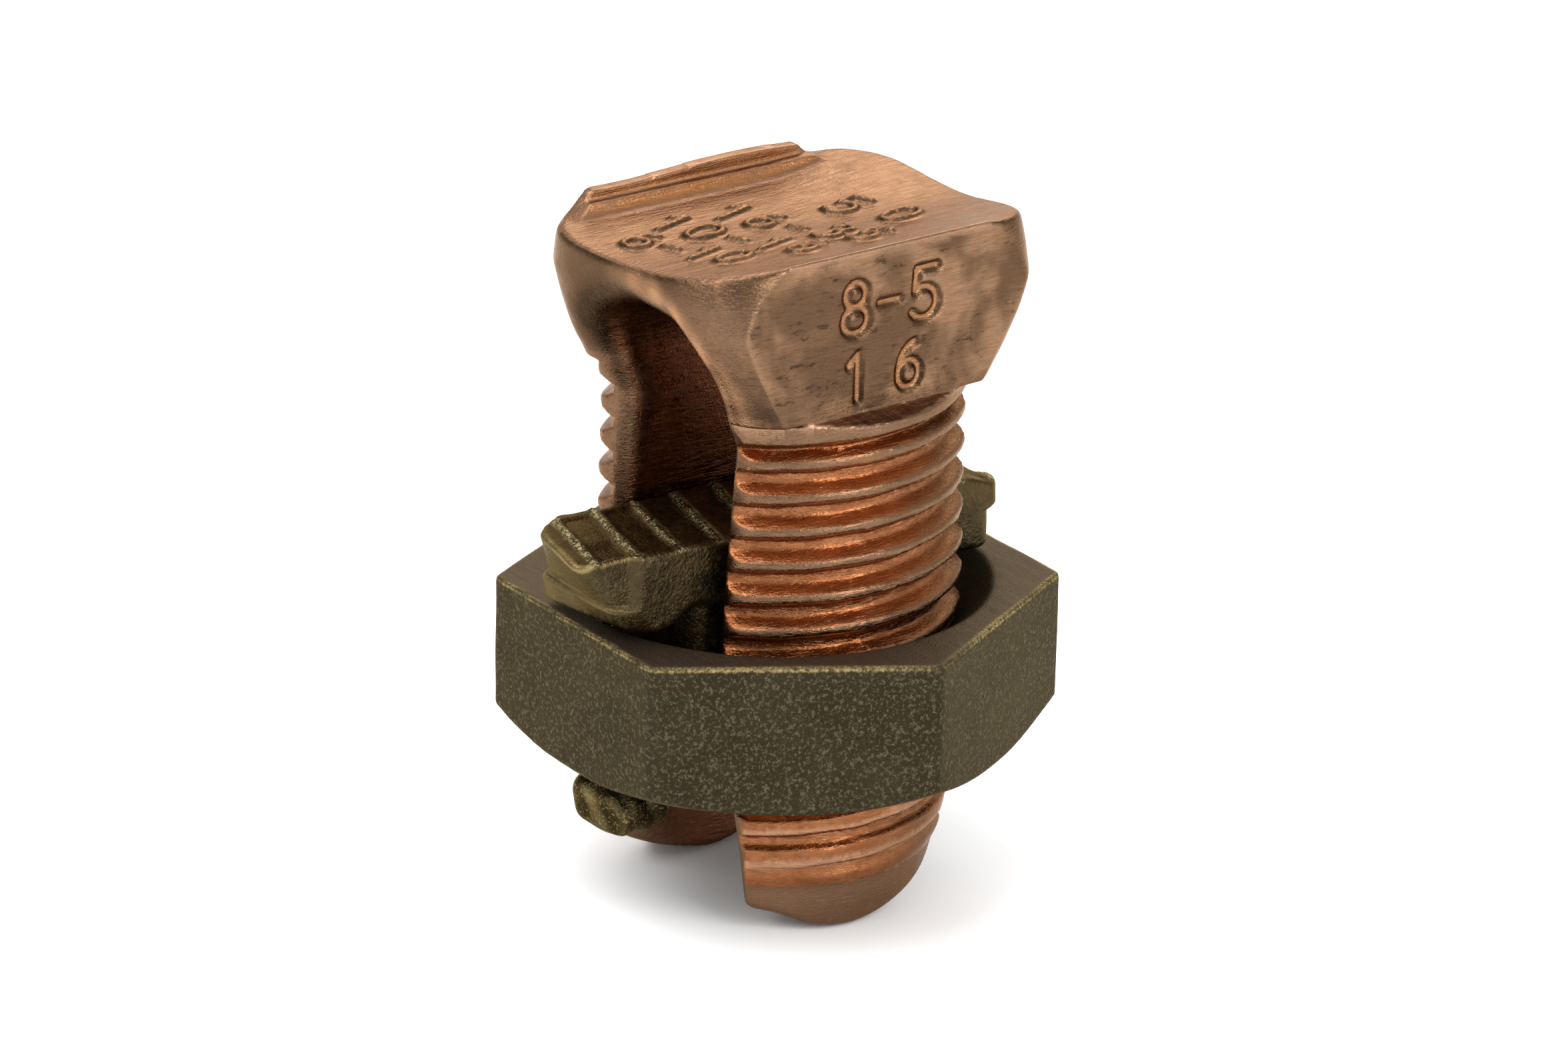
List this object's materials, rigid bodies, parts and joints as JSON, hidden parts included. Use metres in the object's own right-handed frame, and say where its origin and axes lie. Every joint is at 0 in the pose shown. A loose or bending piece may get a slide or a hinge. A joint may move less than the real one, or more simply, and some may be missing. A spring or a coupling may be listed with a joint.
{
  "type": "split bolt ground clamp",
  "caption": "Copper split bolt with a slotted threaded shank, a captive ribbed pressure bar and a hex nut, which clamp grounding wires side by side in the slot.",
  "frame": {"origin": "on the thread axis, in the plane of the bolt's leg tips", "axes": "+Z along the bolt from the leg tips to the head, X across the slot from leg to leg, Y along the conductors"},
  "size_m": [0.0256, 0.0239, 0.0326],
  "materials": {
    "forged_copper": "satin forged copper with bright cut thread flanks",
    "cast_bronze": "rough dark cast bronze with worn yellow ridges",
    "aged_bronze": "dark olive bronze, finely mottled, with worn bright corners"
  },
  "bodies": {
    "bolt": {"split_bolt": "forged_copper"},
    "bar": {"pressure_bar": "cast_bronze"},
    "nut": {"hex_nut": "aged_bronze"}
  },
  "joints": [
    {"name": "bar_slide", "type": "slide", "parent": "bolt", "child": "bar", "axis": [0, 0, 1], "range_m": [-0.00476, 0.00714]},
    {"name": "nut_turn", "type": "hinge", "parent": "bar", "child": "nut", "pos_m": [0, 0, 0.01115], "axis": [0, 0, 1], "range_deg": [-1080, 1620]}
  ],
  "couplings": [
    {"joint": "nut_turn", "follows": "bar_slide", "rad_per_m": 3957.9}
  ]
}
